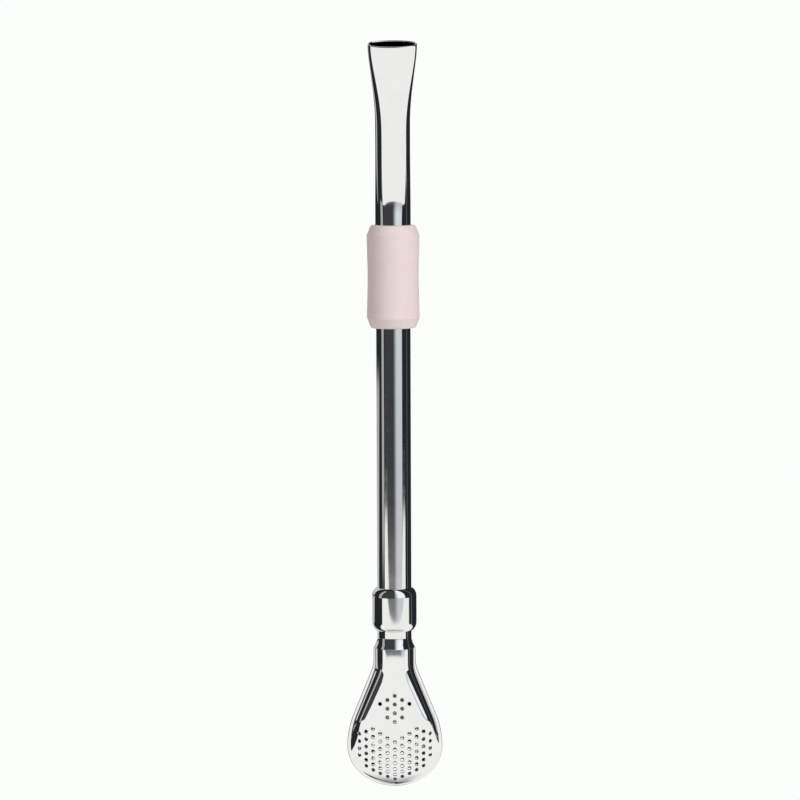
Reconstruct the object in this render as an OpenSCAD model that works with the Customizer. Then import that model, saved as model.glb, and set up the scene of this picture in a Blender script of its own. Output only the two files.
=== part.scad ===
// Spoon bombilla: a metal drinking straw for mate, with a perforated filter that unscrews.
// The filter's tip is the origin, +Z runs up the stem and the drinker's side faces -Y.

/* [Stem] */
// Height of the whole straw, from the filter's tip to the rim
straw_h = 190; // [170:1:240]
// Outside diameter of the straight stem tube
stem_d = 8.7; // [8.4:0.1:9.2]
// Wall of the stem tube
stem_wall = 0.5; // [0.4:0.05:0.7]
// Length of the drawn-in stem end inside the mouthpiece
stem_spigot = 8; // [4:0.5:10]

/* [Mouthpiece] */
// How far the mouthpiece tube stands proud of the stem, on the radius
mouth_step = 0.12; // [0.05:0.01:0.3]
// Wall of the mouthpiece tube
mouth_wall = 0.5; // [0.4:0.05:0.7]
// Straight length between the grip and the bend
bend_gap = 3.2; // [2.5:0.1:12]
// Radius of the bend at the tube's axis
bend_radius = 45; // [25:1:80]
// Angle of the bend towards the drinker, in degrees
bend_angle = 22; // [5:1:40]
// Straight length from the bend to the rim
mouth_len = 27.5; // [23:0.5:40]
// Length over which the tube widens to the rim
flare_len = 22; // [12:0.5:23]
// Width of the mouth at the rim
mouth_w = 12.25; // [10:0.05:14]
// Thickness of the mouth at the rim
mouth_t = 4.9; // [4:0.1:7]
// Squareness of the mouth's oval, where 2 is an ellipse
mouth_power = 2.4; // [2:0.1:3.5]

/* [Grip] */
// Length of the silicone grip
grip_len = 26; // [20:0.5:40]
// Outside diameter of the grip at its ends
grip_d = 13.3; // [12:0.1:16]
// How far the grip draws in at its middle, on the radius
grip_waist = 0.2; // [0.05:0.05:0.6]
// Radial size of the bevel at each end of the grip
bevel_in = 1.25; // [0.3:0.05:1.3]
// Length of the bevel at each end of the grip
bevel_len = 2.5; // [1:0.1:5]
// Radial clearance of the grip on the mouthpiece tube
grip_fit = 0.05; // [0.03:0.01:0.1]

/* [Collar] */
// Outside diameter of the collar
collar_d = 11.3; // [10.8:0.1:13]
// Radius of the rounding at both ends of the collar
collar_round = 2.7; // [1.8:0.1:3]
// Width of the flat rim left at both ends of the collar
collar_edge = 0.22; // [0.15:0.01:0.4]
// Depth of the socket that holds the foot of the stem
socket_len = 4.3; // [3:0.1:8]
// Thickness of the land between the stem and the seal
land_t = 1.05; // [0.6:0.05:2]
// Depth of the counterbore that takes the filter's shank
counterbore_len = 1; // [0.5:0.1:2]
// Gap left for braze around the foot of the stem, on the radius
braze_gap = 0.02; // [0.01:0.01:0.05]

/* [Thread] */
// Pitch of the right-hand thread
thread_pitch = 0.75; // [0.7:0.05:1]
// Turns that the filter takes to come off
thread_turns = 5; // [4:1:7]
// Height of the thread, on the radius
thread_depth = 0.45; // [0.35:0.05:0.5]
// Radial clearance between the two threads
thread_fit = 0.12; // [0.1:0.01:0.16]
// Axial clearance on each flank of the thread
flank_fit = 0.09; // [0.07:0.01:0.1]
// Thickness of the seal
seal_t = 0.8; // [0.5:0.05:1.5]
// Radial clearance of the seal in its recess
seal_fit = 0.05; // [0.03:0.01:0.1]

/* [Neck] */
// Diameter of the bare shank between the collar and the filter
shank_d = 8.7; // [8.5:0.1:9.2]
// Length of shank that shows under the collar
shank_len = 2.6; // [1:0.1:8]
// Length of the cone from the shank down to the shells
cone_len = 1.9; // [1.5:0.1:5]
// How far the cone's foot stands out over the shells' neck, on the radius
cone_lip = 0.35; // [0.1:0.05:0.4]
// Bore through the neck
neck_bore = 6; // [4.5:0.1:6.2]
// Clearance between the neck and its neighbours, on the radius
neck_fit = 0.08; // [0.05:0.01:0.12]
// Gap left for braze between the neck and the shells
shell_fit = 0.03; // [0.02:0.01:0.05]

/* [Filter] */
// Width of the bowl over its flange
bowl_w = 24.25; // [22:0.05:28]
// Height of the widest place above the tip
bowl_low = 10.5; // [9:0.1:13]
// Depth of the bowl from front to back
bowl_t = 8; // [6.8:0.1:9.4]
// Height above the tip at which the bowl's face stands upright
level_z = 11; // [9:0.5:14]
// Slope of the bowl's edge below its widest place, in degrees
bowl_edge = 35; // [30:1:50]
// Width of the rounded side next to the flat face, above the widest place
side_w = 3.4; // [2.6:0.1:4]
// Slope of the flanks, in degrees from upright
flank_angle = 22.3; // [20:0.1:26]
// Radius of the curve from the widest place into the flank
flank_curve = 21.3; // [18:0.1:26]
// Outside diameter of the neck that the two shells form
shell_neck_d = 9.7; // [9.6:0.05:10.4]
// Length of that neck
shell_neck_len = 4.5; // [2:0.1:8]
// How softly the flanks run into the neck
neck_blend = 0.4; // [0.2:0.05:0.8]
// Thickness of the sheet
shell_wall = 0.45; // [0.35:0.05:0.6]
// Width of the welded flange beside the bowl
flange_w = 0.8; // [0.5:0.05:1.2]
// Width of the flange at the tip
tip_flange = 0.55; // [0.4:0.05:1]
// Width of the flange beside the neck
neck_flange = 0.45; // [0.3:0.05:0.6]

/* [Holes] */
// Diameter of the filter holes
hole_d = 0.95; // [0.6:0.05:1.2]
// Spacing of the columns of holes, along the sheet
column_pitch = 1.88; // [1.6:0.01:2.1]
// How far the rows rise from the middle to the outermost columns
row_rise = 0.95; // [0:0.05:1.2]
// Spacing along the sheet of the field's lowest rows
tip_pitch = 1.36; // [1.26:0.02:1.6]
// Spacing along the sheet of the field's highest rows
top_pitch = 2; // [1.8:0.02:2.1]
// Distance along the sheet from the tip of the dome to the lowest row
field_start = 2.75; // [2.4:0.05:3.6]
// Distance along the sheet from the tip of the dome to the lowest hole of the small upper group
group_start = 18; // [17.6:0.05:19.5]
// Spacing along the sheet of the upper group's rows
group_pitch = 2.26; // [1.8:0.02:2.4]
// Plain sheet left between a hole and the foot of the dome
hole_margin = 0.7; // [0.5:0.05:1.5]

/* [Hidden] */
$fn = 96;
steel = "#C9CBCD";
grip_pink = "#DCC8C8";
seal_white = "#E9E6E0";
// Overlap of a cutter past the face that it opens
cut = 0.5;

// Outline of the filter, from the tip up; a tip_power of 0.5 makes the tip's profile an ellipse,
// and the face reaches the neck's radius face_gap below the neck. The section is an arc up to arc_z
// and a panel from panel_z
tip_power = 0.45;
face_power = 3;
face_gap = 1;
face_blend = 0.06;
arc_z = bowl_low - 0.5;
panel_z = bowl_low + 5;
arc_flat = 0.05;
panel_min = 0.3;
bowl_r = bowl_w / 2;
shell_neck_r = shell_neck_d / 2;
curve_top_z = bowl_low + flank_curve * sin(flank_angle);
curve_top_r = bowl_r - flank_curve * (1 - cos(flank_angle));
neck_z = curve_top_z + (curve_top_r - shell_neck_r - neck_flange) / tan(flank_angle);
shell_top_z = neck_z + shell_neck_len;

// Neck and collar, from the shells up
cone_top_z = shell_top_z + cone_len;
collar_z = cone_top_z + shank_len;
counterbore_z = collar_z + counterbore_len;
shank_top_z = counterbore_z - neck_fit;
spigot_z = counterbore_z + thread_turns * thread_pitch;
land_z = spigot_z + seal_t;
socket_z = land_z + land_t;
collar_top_z = socket_z + socket_len;

// Radii inside the collar
stem_r = stem_d / 2;
shank_r = shank_d / 2;
bore_r = neck_bore / 2;
thread_step = 0.3;
thread_r = shank_r - thread_step;
core_r = thread_r - thread_depth;
land_r = bore_r + neck_fit;
recess_r = thread_r + 2 * thread_fit;
recess_relief = 0.25;

// Thread form
root_w = 0.42;
crest_w = 0.14;
facets = 36;
fade_facets = 9;
sunk = 0.1;
sunk_w = sunk * (root_w - crest_w) / thread_depth;

// Mouthpiece, grip and joint, from the rim down; the bare stem takes up the rest of the height
mouth_rise = bend_radius * sin(bend_angle) + mouth_len * cos(bend_angle);
bend_z = straw_h - mouth_rise - mouth_t / 2 * sin(bend_angle);
grip_top_z = bend_z - bend_gap;
grip_z = grip_top_z - grip_len;
joint_z = grip_z + grip_len / 2;
mouth_r = stem_r + mouth_step;
spigot_fit = 0.03;
spigot_r = mouth_r - mouth_wall - spigot_fit;
spigot_cone = stem_r - spigot_r;
bend_len = bend_radius * bend_angle * PI / 180;
lead_len = bend_z - joint_z;
path_len = lead_len + bend_len + mouth_len;
mouth_sides = 40;
bend_rings = 9;
mouth_rings = 14;

// Facets of the shells
section_steps = 25;
flank_rings = 12;
tip_angles = [90, 79, 68, 57, 47, 37, 28, 19, 10];

function smooth(u) = let (v = min(1, max(0, u))) v * v * (3 - 2 * v);
function mix(a, b, u) = a + (b - a) * u;
function signed_power(v, p) = sign(v) * pow(abs(v), p);
function soft_max(a, b, e) = (a + b + sqrt((a - b) * (a - b) + e * e)) / 2;
function soft_min(a, b, e) = -soft_max(-a, -b, e);
function two_triangles(a, b, c, d) = [[a, b, c], [a, c, d]];
function flatten(lists) = [for (l = lists) for (item = l) item];

// Tube skin: rings of points, the last joined to the first, as a ring torus is
function skin_faces(rings, sides) = flatten([
  for (i = [0 : rings - 1]) for (j = [0 : sides - 1])
    let (next = (i + 1) % rings, k = (j + 1) % sides)
      two_triangles(i * sides + j, next * sides + j, next * sides + k, i * sides + k)
]);

// Mouthpiece axis: straight, then an arc towards -Y, then straight to the rim
function path_angle(s) = min(1, max(0, (s - lead_len) / bend_len)) * bend_angle;
function path_point(s) =
  let (a = path_angle(s), rest = max(0, s - lead_len - bend_len))
    [0, -bend_radius * (1 - cos(a)) - rest * sin(a),
     joint_z + min(s, lead_len) + bend_radius * sin(a) + rest * cos(a)];

// Section of the mouthpiece: a circle that flattens and widens towards the rim
function mouth_ring(s, inset) =
  let (widen = smooth((s - path_len + flare_len) / flare_len),
       press = smooth((s - path_len + mouth_len) / mouth_len),
       half_w = mix(mouth_r, mouth_w / 2, widen) - inset,
       half_t = mix(mouth_r, mouth_t / 2, press) - inset,
       power = 2 / mix(2, mouth_power, press),
       a = path_angle(s), centre = path_point(s))
    [for (j = [0 : mouth_sides - 1])
      let (t = 360 * j / mouth_sides, out = half_t * signed_power(sin(t), power))
        centre + [half_w * signed_power(cos(t), power), -out * cos(a), -out * sin(a)]];

mouth_stations = concat(
  [0],
  [for (i = [0 : bend_rings]) lead_len + bend_len * i / bend_rings],
  [for (i = [1 : mouth_rings]) lead_len + bend_len + mouth_len * i / mouth_rings]
);

// Half width of the filter at a height, with the outline drawn in by inset
function half_width(z, inset, tip_inset, neck_r) =
  let (flank = curve_top_r - (z - curve_top_z) * tan(flank_angle) - inset / cos(flank_angle),
       arc_r = flank_curve - inset,
       up = z - bowl_low)
    up <= 0 ? (bowl_r - inset) * sqrt(max(0, 1 - pow(up / (bowl_low - tip_inset), 2)))
    : up < arc_r * sin(flank_angle) ? bowl_r - flank_curve + sqrt(arc_r * arc_r - up * up)
    : soft_max(flank, neck_r, neck_blend);

// Half depth of the dome at a height: a round tip that starts at tip_inset, then a face that leans
// forward ever more, up to the neck's radius
function half_depth(z, inset, tip_inset) =
  let (fall = (level_z - z) / (level_z - tip_inset),
       climb = (z - level_z) / (neck_z - face_gap - level_z))
    z < level_z
    ? (bowl_t / 2 - shell_wall) * pow(max(0, 1 - fall * fall), tip_power) + shell_wall - inset
    : soft_min(mix(bowl_t / 2, shell_neck_r, pow(climb, face_power)), shell_neck_r, face_blend) - inset;

// The dome's section is a flat with a round side on both hands. Low down the flat is narrow and the
// side is a shallow arc; above the widest place the flat is broad and the side turns a right angle
function upper(z) = smooth((z - arc_z) / (panel_z - arc_z));
function side_turn(z) = mix(bowl_edge, 90, upper(z));
function flat_half(a, z) = mix(arc_flat * a, max(a - side_w, panel_min * a), upper(z));

// Height of the section at x as a share of the rise, for a half width of a
function section_share(x, a, z) =
  let (flat = flat_half(a, z),
       turn = side_turn(z),
       across = min(1, max(0, abs(x) - flat) / (a - flat)) * sin(turn))
    (sqrt(1 - across * across) - cos(turn)) / (1 - cos(turn));

// Places across the section, evenly turned along the sides
function section_x(j, steps, a, z) =
  let (flat = flat_half(a, z),
       turn = side_turn(z),
       half = (steps - 1) / 2,
       k = j > half ? j - half - 1 : j - half)
    (j > half ? flat : -flat) + (a - flat) * sin(turn * k / half) / sin(turn);

// Outside of the front dome: how far it stands in front of the seam
function dome_depth(x, z) =
  let (a = half_width(z, flange_w, tip_flange, shell_neck_r),
       d = half_depth(z, 0, tip_flange) - shell_wall)
    z > tip_flange ? shell_wall + d * section_share(x, a, z) : shell_wall;

// Heights of the shell's rings: down the neck and flank, then round the bowl to the tip
upper_z = concat(
  [shell_top_z],
  [for (i = [0 : flank_rings - 1]) mix(neck_z + neck_blend * 2, bowl_low, i / flank_rings)]
);
shell_rings = len(upper_z) + len(tip_angles);
function ring_z(i, tip_inset) =
  i < len(upper_z) ? upper_z[i]
  : bowl_low - (bowl_low - tip_inset) * cos(tip_angles[i - len(upper_z)]);

// One row of the dome's outside, with the flange's edge at both ends
function outer_row(i) =
  let (rim_z = ring_z(i, 0),
       rim_r = half_width(rim_z, 0, 0, shell_neck_r + neck_flange),
       z = ring_z(i, tip_flange),
       a = half_width(z, flange_w, tip_flange, shell_neck_r))
    concat(
      [[-rim_r, 0, rim_z], [-rim_r, -shell_wall, rim_z]],
      [for (j = [0 : section_steps])
        let (x = section_x(j, section_steps, a, z))
          [x, -dome_depth(x, z), z]],
      [[rim_r, -shell_wall, rim_z], [rim_r, 0, rim_z]]
    );

// The same row on the inside, which has no flange; its neck clears the seat of the threaded neck
function inner_row(i) =
  let (tip_inset = tip_flange + shell_wall,
       z = ring_z(i, tip_inset),
       a = half_width(z, flange_w + shell_wall, tip_inset, shell_neck_r - shell_wall),
       d = half_depth(z, shell_wall, tip_inset),
       steps = section_steps + 4)
    [for (j = [0 : steps])
      let (x = section_x(j, steps, a, z))
        [x, -d * section_share(x, a, z), z]];

// A closed half shell: outside, inside, the flat seam between them, the top edge and the tip
module half_shell() {
  row = section_steps + 5;
  last = shell_rings - 1;
  inside = shell_rings * row;
  tip = 2 * inside;
  tip_points = [[0, 0, 0], [0, -shell_wall, 0], [0, -shell_wall, tip_flange],
                [0, 0, tip_flange + shell_wall]];
  points = concat(flatten([for (i = [0 : last]) outer_row(i)]),
                  flatten([for (i = [0 : last]) inner_row(i)]), tip_points);
  walls = flatten([for (i = [0 : last - 1]) for (j = [0 : row - 2])
    let (a = i * row + j, b = a + row, c = inside + a, d = c + row)
      concat(two_triangles(a, a + 1, b + 1, b), two_triangles(c, d, d + 1, c + 1))]);
  top_edge = flatten([for (j = [0 : row - 2])
    two_triangles(j, inside + j, inside + j + 1, j + 1)]);
  seam = flatten([for (i = [0 : last - 1])
    let (a = i * row, b = a + row - 1, c = inside + a, d = inside + b)
      concat(two_triangles(a, a + row, c + row, c), two_triangles(b, d, d + row, b + row))]);
  low = last * row;
  high = low + row - 1;
  fans = concat(
    [for (j = [2 : row - 4]) [low + j, low + j + 1, tip + 2]],
    [for (j = [0 : row - 2]) [inside + low + j + 1, inside + low + j, tip + 3]]
  );
  tip_flange_faces = flatten([
    two_triangles(low, low + 1, tip + 1, tip),
    two_triangles(low + 1, low + 2, tip + 2, tip + 1),
    two_triangles(high - 2, high - 1, tip + 1, tip + 2),
    two_triangles(high - 1, high, tip, tip + 1),
    two_triangles(low, tip, tip + 3, inside + low),
    two_triangles(high, inside + high, tip + 3, tip)
  ]);
  polyhedron(points, concat(walls, top_edge, seam, fans, tip_flange_faces));
}

// Distance along the middle of the dome from its tip, against height
sheet_steps = 120;
sheet_z = [for (i = [0 : sheet_steps]) mix(tip_flange, neck_z, pow(i / sheet_steps, 2))];
sheet_step = [for (i = [1 : sheet_steps])
  norm([sheet_z[i] - sheet_z[i - 1], dome_depth(0, sheet_z[i]) - dome_depth(0, sheet_z[i - 1])])];
function running_sum(v, i = 0, total = 0) =
  i == len(v) ? [total] : concat([total], running_sum(v, i + 1, total + v[i]));
sheet_length = running_sum(sheet_step);
sheet_table = [for (i = [0 : sheet_steps]) [sheet_length[i], sheet_z[i]]];
function sheet_height(length) = lookup(length, sheet_table);

// Hole places: columns from the middle out, and the half rows that each column starts and ends on.
// The columns are evenly spaced along an arc with the bowl's width and rise
field_low = [0, 1, 2, 3, 4, 7];
field_high = [12, 13, 14, 15, 14, 13];
field_rows = 6;
group_low = [0, 1, 4];
group_high = [6, 5, 4];
last_column = len(field_low) - 1;
bowl_half = bowl_r - flange_w;
bowl_rise = bowl_t / 2 - shell_wall;
bowl_arc = (bowl_half * bowl_half + bowl_rise * bowl_rise) / (2 * bowl_rise);
function column_x(c) = bowl_arc * sin(c * column_pitch / bowl_arc * 180 / PI);
function column_rise(c) = row_rise * pow(c / last_column, 2);
function field_length(half_row) =
  let (r = half_row / 2)
    field_start + tip_pitch * r + (top_pitch - tip_pitch) * r * r / (2 * field_rows);
field_holes = [for (c = [-last_column : last_column]) for (k = [field_low[abs(c)] : 2 : field_high[abs(c)]])
  [column_x(c), sheet_height(field_length(k) + column_rise(c))]];
group_holes = [for (c = [-2 : 2]) for (k = [group_low[abs(c)] : 2 : group_high[abs(c)]])
  [column_x(c), sheet_height(group_start + group_pitch * k / 2 + column_rise(c))]];
function on_dome(hole) =
  abs(hole[0]) < half_width(hole[1], flange_w, tip_flange, shell_neck_r) - hole_d / 2 - hole_margin;
holes = [for (hole = concat(field_holes, group_holes)) if (on_dome(hole)) hole];

// Holes square to the sheet
module hole_cutters() {
  probe = 0.05;
  reach = 4 * shell_wall;
  for (hole = holes) {
    x = hole[0];
    z = hole[1];
    slope_x = (dome_depth(x + probe, z) - dome_depth(x - probe, z)) / (2 * probe);
    slope_z = (dome_depth(x, z + probe) - dome_depth(x, z - probe)) / (2 * probe);
    along = [-slope_x, -1, -slope_z] / norm([slope_x, 1, slope_z]);
    translate([x, -dome_depth(x, z), z])
      rotate([0, acos(along[2]), atan2(along[1], along[0])])
        cylinder(d = hole_d, h = 2 * reach, center = true, $fn = 24);
  }
}

// Helical ridge of four-sided section, sunk a little into its core; its ends fade over some facets
module helix_ridge(z0, z1, root_r, crest_r, widen, fade) {
  first = floor((z0 - counterbore_z) / thread_pitch * facets);
  last = floor((z1 - counterbore_z) / thread_pitch * facets);
  count = last - first;
  foot_r = root_r - sunk;
  foot = root_w + widen + sunk_w;
  crest = crest_w + widen;
  points = flatten([for (i = [0 : count])
    let (turn = (first + i) / facets,
         z = counterbore_z + turn * thread_pitch,
         u = fade > 0 ? min(1, i / fade, (count - i) / fade) : 1,
         r = mix(root_r - sunk / 2, crest_r, u))
      [for (p = [[foot_r, -foot / 2], [r, -crest / 2], [r, crest / 2], [foot_r, foot / 2]])
        [p[0] * cos(360 * turn), p[0] * sin(360 * turn), z + p[1]]]]);
  sides = flatten([for (i = [0 : count - 1]) for (j = [0 : 3])
    two_triangles(4 * i + j, 4 * i + (j + 1) % 4, 4 * (i + 1) + (j + 1) % 4, 4 * (i + 1) + j)]);
  ends = concat(two_triangles(3, 2, 1, 0),
                two_triangles(4 * count, 4 * count + 1, 4 * count + 2, 4 * count + 3));
  polyhedron(points, concat(sides, ends));
}

// Prism with a flat between each two stations of the thread
module thread_prism(r, z0, z1) {
  translate([0, 0, z0])
    linear_extrude(z1 - z0)
      polygon([for (i = [0 : facets - 1])
        let (a = 360 * (i + 0.5) / facets)
          [r * cos(a), r * sin(a)]]);
}

// Cylinder between two heights
module round_bar(r, z0, z1) {
  translate([0, 0, z0])
    cylinder(r = r, h = z1 - z0);
}

module mouthpiece() {
  outer = [for (s = mouth_stations) mouth_ring(s, 0)];
  last = len(outer) - 1;
  inner = [for (i = [last : -1 : 0]) mouth_ring(mouth_stations[i], mouth_wall)];
  color(steel)
    polyhedron(flatten(concat(outer, inner)), skin_faces(2 * (last + 1), mouth_sides));
}

module stem_tube() {
  end_z = joint_z + stem_spigot;
  color(steel)
    rotate_extrude()
      polygon([
        [stem_r - stem_wall, socket_z], [stem_r, socket_z],
        [stem_r, joint_z - spigot_cone], [spigot_r, joint_z], [spigot_r, end_z],
        [spigot_r - stem_wall, end_z], [spigot_r - stem_wall, joint_z],
        [stem_r - stem_wall, joint_z - spigot_cone]
      ]);
}

module grip_sleeve() {
  bore = mouth_r + grip_fit;
  r = grip_d / 2;
  waist_steps = 12;
  waist = [for (i = [0 : waist_steps])
    let (u = i / waist_steps)
      [r - grip_waist * sin(180 * u), mix(grip_z + bevel_len, grip_top_z - bevel_len, u)]];
  color(grip_pink)
    rotate_extrude()
      polygon(concat([[bore, grip_z], [r - bevel_in, grip_z]], waist,
                     [[r - bevel_in, grip_top_z], [bore, grip_top_z]]));
}

// Collar outside: a bar with both ends rounded down to a narrow flat rim
module collar_blank() {
  r = collar_d / 2;
  arc_r = r - collar_round;
  top_r = stem_r + braze_gap + collar_edge;
  foot_r = shank_r + neck_fit + collar_edge;
  top_rise = sqrt(pow(collar_round, 2) - pow(top_r - arc_r, 2));
  foot_rise = sqrt(pow(collar_round, 2) - pow(foot_r - arc_r, 2));
  rotate_extrude()
    intersection() {
      union() {
        translate([arc_r, collar_z + foot_rise])
          circle(r = collar_round);
        translate([arc_r, collar_top_z - top_rise])
          circle(r = collar_round);
        translate([0, collar_z + foot_rise])
          square([r, collar_top_z - top_rise - collar_z - foot_rise]);
        translate([0, collar_z])
          square([foot_r, foot_rise]);
        translate([0, collar_top_z - top_rise])
          square([top_r, top_rise]);
      }
      translate([0, collar_z])
        square([r, collar_top_z - collar_z]);
    }
}

module collar() {
  recess_z = spigot_z - recess_relief;
  color(steel)
    difference() {
      collar_blank();
      round_bar(shank_r + neck_fit, collar_z - cut, counterbore_z);
      thread_prism(core_r + thread_fit, counterbore_z - cut, recess_z + recess_relief);
      helix_ridge(counterbore_z - thread_pitch / 2, recess_z + thread_pitch / 2,
                  core_r + thread_fit, thread_r + thread_fit, 2 * flank_fit, 0);
      round_bar(recess_r, recess_z, land_z);
      round_bar(land_r, land_z - cut, socket_z + cut);
      round_bar(stem_r + braze_gap, socket_z, collar_top_z + cut);
    }
}

module seal_ring() {
  color(seal_white)
    difference() {
      round_bar(recess_r - seal_fit, spigot_z, land_z);
      round_bar(land_r, spigot_z - cut, land_z + cut);
    }
}

module threaded_neck() {
  seat_r = shell_neck_r - shell_wall - shell_fit;
  foot_z = neck_z;
  color(steel)
    difference() {
      union() {
        thread_prism(core_r, shank_top_z - cut, spigot_z);
        helix_ridge(shank_top_z + root_w, spigot_z - root_w, core_r, thread_r, 0, fade_facets);
        round_bar(shank_r, cone_top_z, shank_top_z);
        translate([0, 0, shell_top_z])
          cylinder(r1 = shell_neck_r + cone_lip, r2 = shank_r, h = cone_len);
        round_bar(seat_r, foot_z, shell_top_z);
      }
      round_bar(bore_r, foot_z - cut, spigot_z + cut);
    }
}

module front_shell() {
  color(steel)
    difference() {
      half_shell();
      hole_cutters();
    }
}

module back_shell() {
  color(steel)
    mirror([0, 1, 0])
      difference() {
        half_shell();
        hole_cutters();
      }
}

mouthpiece();
stem_tube();
grip_sleeve();
collar();
seal_ring();
threaded_neck();
front_shell();
back_shell();
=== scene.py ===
"""Spoon bombilla: a polished stainless straw with a silicone grip and a perforated filter."""
import math

import bpy
import numpy as np
from mathutils import Matrix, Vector
from mathutils.geometry import delaunay_2d_cdt

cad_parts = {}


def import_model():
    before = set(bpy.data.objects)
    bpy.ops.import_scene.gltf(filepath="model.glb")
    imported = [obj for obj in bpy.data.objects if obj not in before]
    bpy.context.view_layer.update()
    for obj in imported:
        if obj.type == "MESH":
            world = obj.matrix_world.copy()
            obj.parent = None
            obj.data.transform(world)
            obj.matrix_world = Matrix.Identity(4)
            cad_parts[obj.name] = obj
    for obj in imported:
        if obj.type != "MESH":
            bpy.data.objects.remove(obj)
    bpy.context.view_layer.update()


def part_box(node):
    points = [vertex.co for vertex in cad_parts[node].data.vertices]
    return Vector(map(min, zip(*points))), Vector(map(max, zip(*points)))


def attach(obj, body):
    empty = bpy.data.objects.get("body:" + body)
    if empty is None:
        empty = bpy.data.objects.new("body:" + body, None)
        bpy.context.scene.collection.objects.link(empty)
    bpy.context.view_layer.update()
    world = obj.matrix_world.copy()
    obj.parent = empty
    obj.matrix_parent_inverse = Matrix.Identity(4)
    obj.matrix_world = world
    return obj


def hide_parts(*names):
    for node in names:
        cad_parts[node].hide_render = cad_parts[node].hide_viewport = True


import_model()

# Everything below is worked out in millimetres and put into the meshes in metres
MM = 0.001


def heights(node):
    """Lowest and highest height of a CAD node, in millimetres."""
    low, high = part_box(node)
    return low.z / MM, high.z / MM


tip_z, shell_top = heights("front_shell")
seat_z, spigot_z = heights("threaded_neck")
collar_z, collar_top = heights("collar")
socket_z, stem_end = heights("stem_tube")
grip_z, grip_top = heights("grip_sleeve")
joint_z = heights("mouthpiece")[0]
land_z = heights("seal_ring")[1]

# Tube sizes
STEM_R = 4.35
STEM_WALL = 0.5
MOUTH_R = 4.47
MOUTH_WALL = 0.5
SPIGOT_R = 3.94
SPIGOT_BEND = 0.3
EDGE_ROUND = 0.08

# Mouthpiece sizes
BEND_RADIUS = 45.0
BEND_ANGLE = math.radians(22)
BEND_GAP = 3.2
MOUTH_LEN = 27.5
FLARE_LEN = 22.0
FLARE_POWER = 1.18
PRESS_POWER = 1.4
FIRST_PRESS = 0.1
FIRST_POWER = 2.2
FIRST_START = 3.1
FIRST_LEN = 10.1
MOUTH_W = 12.25
MOUTH_T = 4.9
MOUTH_POWER = 2.4
MOUTH_WAIST = 0.1
WAIST_END = 8.0
LIP_ROUND = 0.25

# Grip sizes
GRIP_R = 6.65
GRIP_BORE = 4.52
GRIP_WAIST = 0.2
BEVEL_IN = 1.0
BEVEL_LEN = 2.5
BEVEL_ROUND = 0.9
GRIP_CORNER = 0.6

# Collar, seal and thread sizes
COLLAR_R = 5.65
COLLAR_ROUND = 2.7
COLLAR_TOP_R = 4.59
COLLAR_FOOT_R = 4.65
COLLAR_EASE = 0.05
SOCKET_R = 4.37
COUNTERBORE_R = 4.43
COUNTERBORE_LEN = 1.0
RECESS_R = 4.29
RECESS_RELIEF = 0.25
LAND_R = 3.08
SEAL_R = 4.24
SEAL_EASE = 0.1
THREAD_PITCH = 0.75
THREAD_DEPTH = 0.45
THREAD_FIT = 0.12
FLANK_FIT = 0.09
THREAD_ROOT = 0.42
THREAD_CREST = 0.14
THREAD_FADE = 0.2
CORE_R = 3.60

# Neck sizes
SHANK_R = 4.35
NECK_BORE_R = 3.0
NECK_SEAT_R = 4.37
CONE_LEN = 1.9
CONE_FOOT_R = 5.2
CONE_BLEND = 4.0
NECK_FIT = 0.08
NECK_EASE = 0.06

# Filter sizes
BOWL_R = 12.125
BOWL_LOW = 10.5
BOWL_DEPTH = 4.0
BOWL_EDGE = math.radians(35)
ARC_Z = 8.0
PANEL_Z = 19.0
ARC_FLAT = 0.05
SIDE_W = 3.4
SIDE_W_LOW = 2.1
SIDE_LOW_Z = 14.5
SIDE_TOP_Z = 28.0
PANEL_MIN = 0.3
LEVEL_Z = 11.0
TIP_POWER = 0.45
FACE_POWER = 3.0
FACE_GAP = 0.2
FACE_BLEND = 0.06
NECK_TUCK = 0.018
FLANK_ANGLE = math.radians(22.3)
FLANK_CURVE = 21.3
SHELL_NECK_R = 4.85
SHELL_NECK_LEN = 4.5
NECK_BLEND = 0.4
SHELL_WALL = 0.45
FLANGE_W = 0.8
TIP_FLANGE = 0.55
NECK_FLANGE = 0.45
SEAM_GAP = 0.006
CREASE_ROUND = 0.22
FLANGE_ROUND = 0.3
SEAM_ROUND = 0.05

# Hole pattern: columns from the middle out, and the half rows that each starts and ends on
HOLE_R = 0.475
HOLE_ROUND = 0.09
COLUMN_PITCH = 1.88
ROW_RISE = 0.95
TIP_PITCH = 1.36
TOP_PITCH = 2.0
FIELD_START = 2.75
FIELD_ROWS = 6
FIELD_LOW = [0, 1, 2, 3, 4, 7]
FIELD_HIGH = [12, 13, 14, 15, 14, 13]
GROUP_START = 18.0
GROUP_PITCH = 2.26
GROUP_LOW = [0, 1, 4]
GROUP_HIGH = [6, 5, 4]

# Mesh density
SIDES = 192
ARC_STEPS = 6
THREAD_STEP = 0.03
MOUTH_ROWS = 130
MOUTH_SIDES = 160
MOUTH_CROWDING = 0.03
GRIP_ROWS = 40
COLLAR_STEPS = 24
UPPER_STATIONS = 80
LOWER_STATIONS = 64
FOOT_ROWS = 12
FOOT_PROBES = 400
FACE_INSET = 0.6
FACE_PITCH = 0.42
HOLE_SIDES = 28
HOLE_INSIDE = 0.98
LIP_STEPS = 4
SHEET_STEPS = 2000
WELD_DIGITS = 4

counterbore_z = collar_z + COUNTERBORE_LEN
shank_top = counterbore_z - NECK_FIT
neck_z = shell_top - SHELL_NECK_LEN
curve_top_z = BOWL_LOW + FLANK_CURVE * math.sin(FLANK_ANGLE)
curve_top_r = BOWL_R - FLANK_CURVE * (1 - math.cos(FLANK_ANGLE))


def smooth(u):
    """Smooth step from 0 to 1: three u squared less two u cubed, held at both ends."""
    v = np.clip(u, 0, 1)
    return v * v * (3 - 2 * v)


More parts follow.
